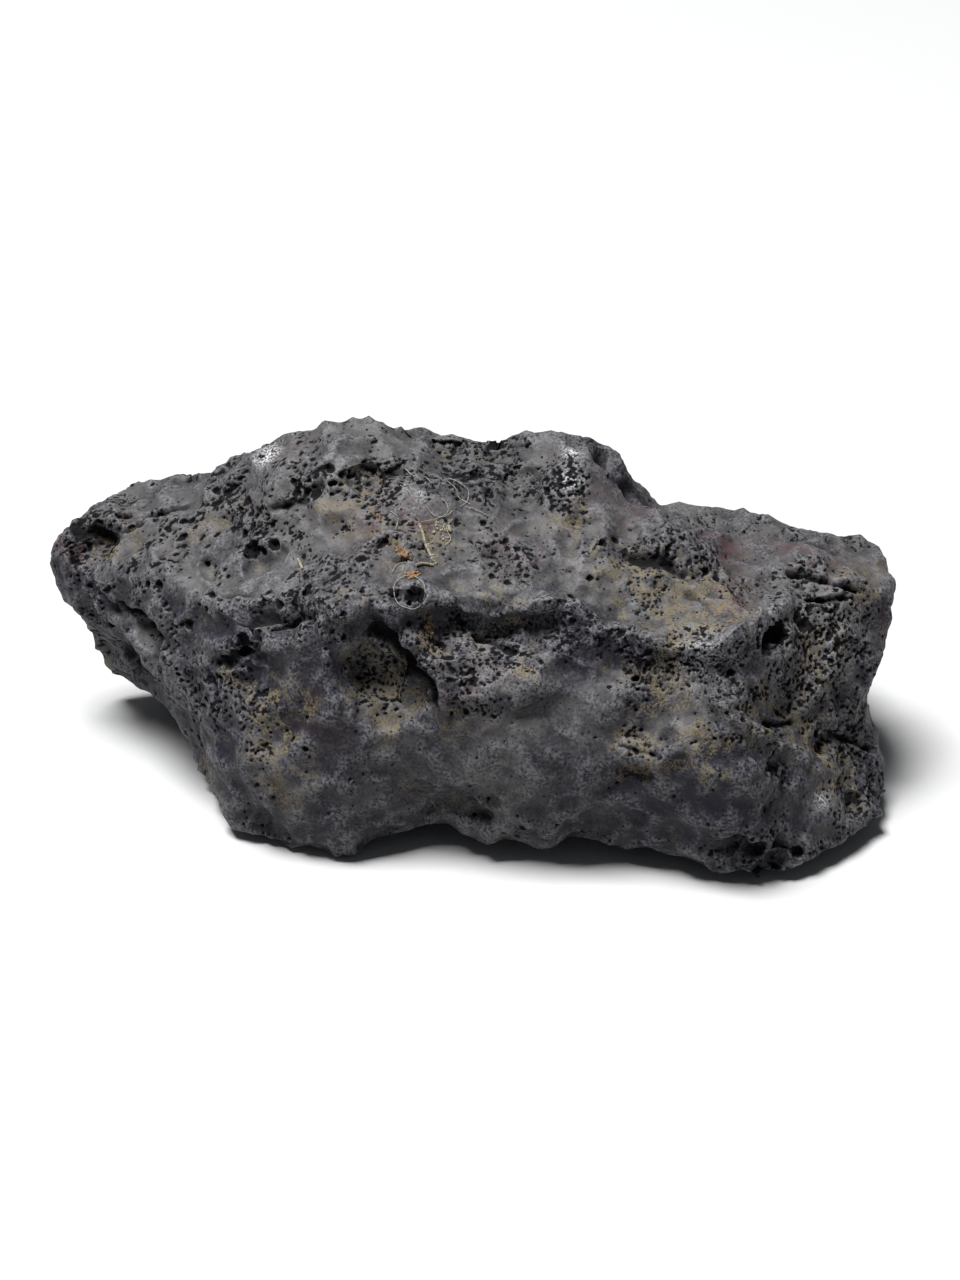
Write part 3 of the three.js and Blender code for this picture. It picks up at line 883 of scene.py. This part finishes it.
def add_node(tree, kind, inputs=None, **settings):
    """A node of the tree with its settings, and its inputs linked or set."""
    node = tree.nodes.new(kind)
    for name, value in settings.items():
        setattr(node, name, value)
    for name, value in (inputs or {}).items():
        if isinstance(value, bpy.types.NodeSocket):
            tree.links.new(value, node.inputs[name])
        else:
            node.inputs[name].default_value = value
    return node


def field(tree, name):
    return add_node(tree, "ShaderNodeAttribute", attribute_name=name).outputs["Fac"]


def calc(tree, operation, *values, clamp=False):
    inputs = dict(enumerate(values))
    return add_node(tree, "ShaderNodeMath", inputs, operation=operation, use_clamp=clamp).outputs[0]


def ramp(tree, value, low, high):
    """0 below low, 1 above high, smooth between."""
    inputs = {"Value": value, "From Min": low, "From Max": high}
    return add_node(tree, "ShaderNodeMapRange", inputs, interpolation_type="SMOOTHSTEP").outputs["Result"]


def blend(tree, share, first, second):
    """The first colour with a share of the second over it."""
    node = add_node(tree, "ShaderNodeMix", {0: share, 6: first, 7: second}, data_type="RGBA")
    return node.outputs[2]


def rgba(colour):
    return (*colour, 1.0)


def millimetres(tree):
    """The piece's own coordinates in millimetres."""
    place = add_node(tree, "ShaderNodeTexCoord").outputs["Object"]
    return add_node(tree, "ShaderNodeVectorMath", {0: place, "Scale": 1 / MM}, operation="SCALE").outputs[0]


def mottling_group():
    """The shared effect Mottling: soft patches, from 0 to 1, whose features are Size millimetres across."""
    group = bpy.data.node_groups.get("Mottling")
    if group:
        return group
    group = bpy.data.node_groups.new("Mottling", "ShaderNodeTree")
    for name, value in (("Size", 1.0), ("Detail", 4.0), ("Roughness", 0.55)):
        socket = group.interface.new_socket(name, in_out="INPUT", socket_type="NodeSocketFloat")
        socket.default_value = value
    group.interface.new_socket("Mottle", in_out="OUTPUT", socket_type="NodeSocketFloat")
    given = group.nodes.new("NodeGroupInput").outputs
    scale = calc(group, "DIVIDE", 1.0, given["Size"])
    inputs = {
        "Vector": millimetres(group), "Scale": scale, "Detail": given["Detail"],
        "Roughness": given["Roughness"],
    }
    patches = add_node(group, "ShaderNodeTexNoise", inputs)
    result = group.nodes.new("NodeGroupOutput")
    group.links.new(patches.outputs["Fac"], result.inputs["Mottle"])
    return group


def mottle(tree, size, detail=4.0, roughness=0.55):
    inputs = {"Size": size, "Detail": detail, "Roughness": roughness}
    return add_node(tree, "ShaderNodeGroup", inputs, node_tree=mottling_group()).outputs["Mottle"]


def pores(tree, place, size, crowd):
    """Mask of tiny pores, one in each cell of size millimetres, where crowd lets it open."""
    wobble = add_node(tree, "ShaderNodeTexNoise", {"Vector": place, "Scale": 2.2 / size, "Detail": 2.0})
    inputs = {0: wobble.outputs["Color"], 1: (0.6 * size,) * 3, 2: place}
    bent = add_node(tree, "ShaderNodeVectorMath", inputs, operation="MULTIPLY_ADD").outputs[0]
    cell = add_node(tree, "ShaderNodeTexVoronoi", {"Vector": bent, "Scale": 1 / size})
    draw = add_node(tree, "ShaderNodeSeparateColor", {"Color": cell.outputs["Color"]}).outputs
    opened = ramp(tree, calc(tree, "SUBTRACT", crowd, draw["Red"]), 0.0, 0.12)
    radius = calc(tree, "MULTIPLY_ADD", draw["Green"], 0.18, 0.18)
    shape = ramp(tree, calc(tree, "SUBTRACT", radius, cell.outputs["Distance"]), -0.03, 0.1)
    return calc(tree, "MULTIPLY", opened, shape)


def slate_with_painted_light(tree, settings, speck):
    """Slate from blue-black to grey, in patches of three sizes, and lighter or darker by the painted light
    and shade of the field light.
    """
    tone = mottle(tree, BROAD, 3.0)
    tone = calc(tree, "MULTIPLY_ADD", mottle(tree, MIDDLING, 4.0, 0.6), 0.8, tone)
    tone = calc(tree, "MULTIPLY_ADD", speck, 0.9, tone)
    tone = calc(tree, "MULTIPLY_ADD", field(tree, "light"), 0.6, tone)
    return blend(tree, ramp(tree, tone, 1.27, 2.05), rgba(settings.dark_slate_and_shade), rgba(settings.slate))


def stain_mask(tree):
    rusty = calc(tree, "MULTIPLY", field(tree, "rust"), ramp(tree, mottle(tree, MIDDLING), 0.38, 0.62))
    return calc(tree, "MULTIPLY", rusty, 0.95)


# Worn rims and ridges, with painted highlights on the ridges and painted light at the spots
def wear_and_light_mask(tree, speck):
    wear_and_light = calc(tree, "MULTIPLY", field(tree, "wear_and_light"), 0.6)
    rim = calc(tree, "MULTIPLY_ADD", field(tree, "ridge"), 0.8, wear_and_light)
    worn = calc(tree, "MULTIPLY", rim, ramp(tree, speck, 0.38, 0.62), clamp=True)
    return calc(tree, "MULTIPLY", worn, 0.75)


def dust_mask(tree):
    dusty = calc(tree, "MULTIPLY_ADD", field(tree, "hollow"), 0.3, field(tree, "dust"))
    dusty = calc(tree, "MULTIPLY", dusty, ramp(tree, mottle(tree, SMALL, 3.0, 0.6), 0.36, 0.66))
    grains = ramp(tree, mottle(tree, DUST_GRAIN, 3.0, 0.7), 0.42, 0.56)
    return calc(tree, "MULTIPLY", ramp(tree, calc(tree, "MULTIPLY", dusty, grains), 0.04, 0.42), 0.88)


# Pale mineral flecks, and painted glints
def fleck_and_glint_mask(tree):
    flecks = ramp(tree, mottle(tree, DUST_GRAIN, 2.0), 0.44, 0.57)
    return calc(tree, "MULTIPLY", flecks, field(tree, "glint"))


def pore_mask(tree, porous):
    """Mask of the pores that are too small for the mesh, painted dark as shade inside them and sunk in the
    relief.
    """
    place = millimetres(tree)
    wide = pores(tree, place, WIDE_PORE, calc(tree, "MULTIPLY_ADD", porous, 0.62, 0.05))
    fine = pores(tree, place, FINE_PORE, calc(tree, "MULTIPLY_ADD", porous, 0.75, 0.18))
    return calc(tree, "MAXIMUM", wide, fine)


def fine_relief(tree, speck, porous, tiny):
    """The way that the skin faces, with specks and painted pores raised and sunk on it."""
    height = calc(tree, "MULTIPLY_ADD", mottle(tree, DUST_GRAIN, 3.0, 0.6), 0.5, speck)
    height = calc(tree, "MULTIPLY", height, calc(tree, "MULTIPLY_ADD", porous, 0.65, 0.35))
    height = calc(tree, "SUBTRACT", height, calc(tree, "MULTIPLY", tiny, 1.5))
    inputs = {"Height": height, "Strength": 0.8, "Distance": BUMP_HEIGHT * MM}
    return add_node(tree, "ShaderNodeBump", inputs).outputs["Normal"]


def stone_material(settings):
    material, tree, shader = new_material("hematite")
    porous = field(tree, "porous")
    speck = mottle(tree, SPECKS, 3.0, 0.7)
    tiny = pore_mask(tree, porous)
    dusty = dust_mask(tree)
    deep = calc(tree, "MAXIMUM", ramp(tree, field(tree, "pit"), 0.03, 0.2), tiny)
    # slate tone with painted light and shade
    colour = slate_with_painted_light(tree, settings, speck)
    colour = blend(tree, stain_mask(tree), colour, rgba(settings.rust))
    # worn rims, painted highlights and painted light
    colour = blend(tree, wear_and_light_mask(tree, speck), colour, rgba(settings.worn))
    colour = blend(tree, dusty, colour, rgba(settings.dust))
    # pale flecks and painted glints
    colour = blend(tree, fleck_and_glint_mask(tree), colour, rgba(settings.crystal_and_glint))
    # painted shade in the pits, slits and painted pores
    colour = blend(tree, calc(tree, "MULTIPLY", deep, 0.98), colour, rgba(settings.pit))
    tree.links.new(colour, shader.inputs["Base Color"])
    gloss = calc(tree, "MULTIPLY_ADD", mottle(tree, SMALL), 0.3, 0.38)
    matt = calc(tree, "MULTIPLY", calc(tree, "MAXIMUM", dusty, deep), 0.95)
    tree.links.new(calc(tree, "MAXIMUM", gloss, matt), shader.inputs["Roughness"])
    shader.inputs["Specular IOR Level"].default_value = 0.17
    tree.links.new(fine_relief(tree, speck, porous, tiny), shader.inputs["Normal"])
    return material


def lint_material(name, colour):
    material, tree, shader = new_material(name)
    shade = tuple(0.45 * value for value in colour)
    mixed = blend(tree, ramp(tree, mottle(tree, 0.35, 3.0), 0.35, 0.65), rgba(shade), rgba(colour))
    tree.links.new(mixed, shader.inputs["Base Color"])
    shader.inputs["Roughness"].default_value = 0.85
    return material


def floor_material(stage):
    material, tree, shader = new_material("studio_floor")
    patches = calc(tree, "MULTIPLY", mottle(tree, 40.0), 0.03)
    colour = blend(tree, patches, rgba(stage.floor), rgba(stage.floor_patch))
    tree.links.new(colour, shader.inputs["Base Color"])
    shader.inputs["Roughness"].default_value = 0.9
    shader.inputs["Specular IOR Level"].default_value = 0.1
    return material


# Stage

def add_light(stage):
    light = bpy.data.lights.new("key", "AREA")
    light.size = stage.key_side
    light.energy = stage.key_power
    key = linked("key", light)
    key.location = stage.key_place
    key.rotation_euler = (Vector(stage.key_aim) - key.location).to_track_quat("-Z", "Y").to_euler()


def add_sky(scene, stage):
    world = bpy.data.worlds.new("studio")
    world.use_nodes = True
    sky = world.node_tree.nodes["Background"]
    sky.inputs["Color"].default_value = rgba(stage.sky_colour)
    sky.inputs["Strength"].default_value = stage.sky
    scene.world = world
    scene.view_settings.view_transform = "Standard"


def add_camera(scene, stage):
    lens = bpy.data.cameras.new("camera")
    lens.lens = stage.lens
    lens.sensor_width = SENSOR
    lens.clip_start = CLOSEST
    camera = linked("camera", lens)
    camera.location = stage.camera_place
    camera.rotation_euler = camera_turn(stage).to_euler()
    scene.camera = camera


# Operators

class HEMATITE_OT_stone(bpy.types.Operator):
    """Makes the stone over its CAD solid"""

    bl_idname = "hematite.stone"
    bl_label = "Stone"

    def execute(self, context):
        settings = context.scene.hematite_stone
        mesh = stone_mesh(settings)
        mesh.transform(Matrix.Scale(MM, 4))
        mesh.materials.clear()
        mesh.materials.append(stone_material(settings))
        mesh.shade_smooth()
        stone = linked("stone", mesh)
        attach(stone, "root")
        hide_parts(STONE_NODE)
        return {"FINISHED"}


class HEMATITE_OT_fibres(bpy.types.Operator):
    """Lays the fibres and the looped hair on the finished stone"""

    bl_idname = "hematite.fibres"
    bl_label = "Fibres"

    def execute(self, context):
        lint = context.scene.hematite_lint
        tree, guide = tree_of(bpy.data.objects["stone"].data, 1 / MM), cad_tree()
        loop = []
        for turn in np.linspace(0, 2 * math.pi, LOOP_POINTS):
            across, down = HAIR_LOOP.radius * math.cos(turn), HAIR_LOOP.radius * math.sin(turn)
            loop.append((HAIR_LOOP.x + across, HAIR_LOOP.y + down))
        paths = [rounded(lifted_path(tree, guide, path, FIBRE_LIFT)) for path in [*FIBRES, loop]]
        mesh = tubes(paths, lint.fibre_radius / MM)
        finish_lint("fibres", mesh, lint_material("fibre", lint.fibre))
        return {"FINISHED"}


class HEMATITE_OT_straw(bpy.types.Operator):
    """Lays the bits of straw on the finished stone"""

    bl_idname = "hematite.straw"
    bl_label = "Straw"

    def execute(self, context):
        lint = context.scene.hematite_lint
        tree, guide = tree_of(bpy.data.objects["stone"].data, 1 / MM), cad_tree()
        radius = lint.straw_radius / MM
        paths = [rounded(lifted_path(tree, guide, path, radius)) for path in STRAWS]
        material = lint_material("straw", lint.straw)
        finish_lint("straw", tubes(paths, radius), material)
        finish_lint("straw_crumbs", lumps(tree, STRAW_CRUMBS, STRAW_CRUMB_SEED), material)
        return {"FINISHED"}


class HEMATITE_OT_crumbs(bpy.types.Operator):
    """Lays the orange crumbs on the finished stone"""

    bl_idname = "hematite.crumbs"
    bl_label = "Crumbs"

    def execute(self, context):
        lint = context.scene.hematite_lint
        tree = tree_of(bpy.data.objects["stone"].data, 1 / MM)
        finish_lint("crumbs", lumps(tree, CRUMBS, CRUMB_SEED), lint_material("crumb", lint.crumb))
        return {"FINISHED"}


class HEMATITE_OT_stage(bpy.types.Operator):
    """Makes the floor, the light and the camera"""

    bl_idname = "hematite.stage"
    bl_label = "Stage"

    def execute(self, context):
        stage = context.scene.hematite_stage
        bpy.ops.mesh.primitive_plane_add(size=stage.floor_side)
        floor = context.object
        floor.name = "floor"
        floor.data.materials.append(floor_material(stage))
        add_light(stage)
        add_sky(context.scene, stage)
        add_camera(context.scene, stage)
        return {"FINISHED"}


class HEMATITE_PT_panel(bpy.types.Panel):
    """Lists the stone's makers"""

    bl_label = "Hematite Stone"
    bl_idname = "HEMATITE_PT_panel"
    bl_space_type = "VIEW_3D"
    bl_region_type = "UI"
    bl_category = "Stone"

    def draw(self, context):
        for operator in OPERATORS:
            self.layout.operator(operator.bl_idname)


OPERATORS = [
    HEMATITE_OT_stage, HEMATITE_OT_stone, HEMATITE_OT_fibres, HEMATITE_OT_straw, HEMATITE_OT_crumbs,
]
CLASSES = [StoneSettings, LintSettings, StageSettings, *OPERATORS, HEMATITE_PT_panel]


def register():
    for made in CLASSES:
        bpy.utils.register_class(made)
    bpy.types.Scene.hematite_stone = PointerProperty(type=StoneSettings)
    bpy.types.Scene.hematite_lint = PointerProperty(type=LintSettings)
    bpy.types.Scene.hematite_stage = PointerProperty(type=StageSettings)


def unregister():
    del bpy.types.Scene.hematite_stage
    del bpy.types.Scene.hematite_lint
    del bpy.types.Scene.hematite_stone
    for made in reversed(CLASSES):
        bpy.utils.unregister_class(made)


def main():
    register()
    bpy.ops.hematite.stage()
    bpy.ops.hematite.stone()
    bpy.ops.hematite.fibres()
    bpy.ops.hematite.straw()
    bpy.ops.hematite.crumbs()


if __name__ == "__main__":
    main()
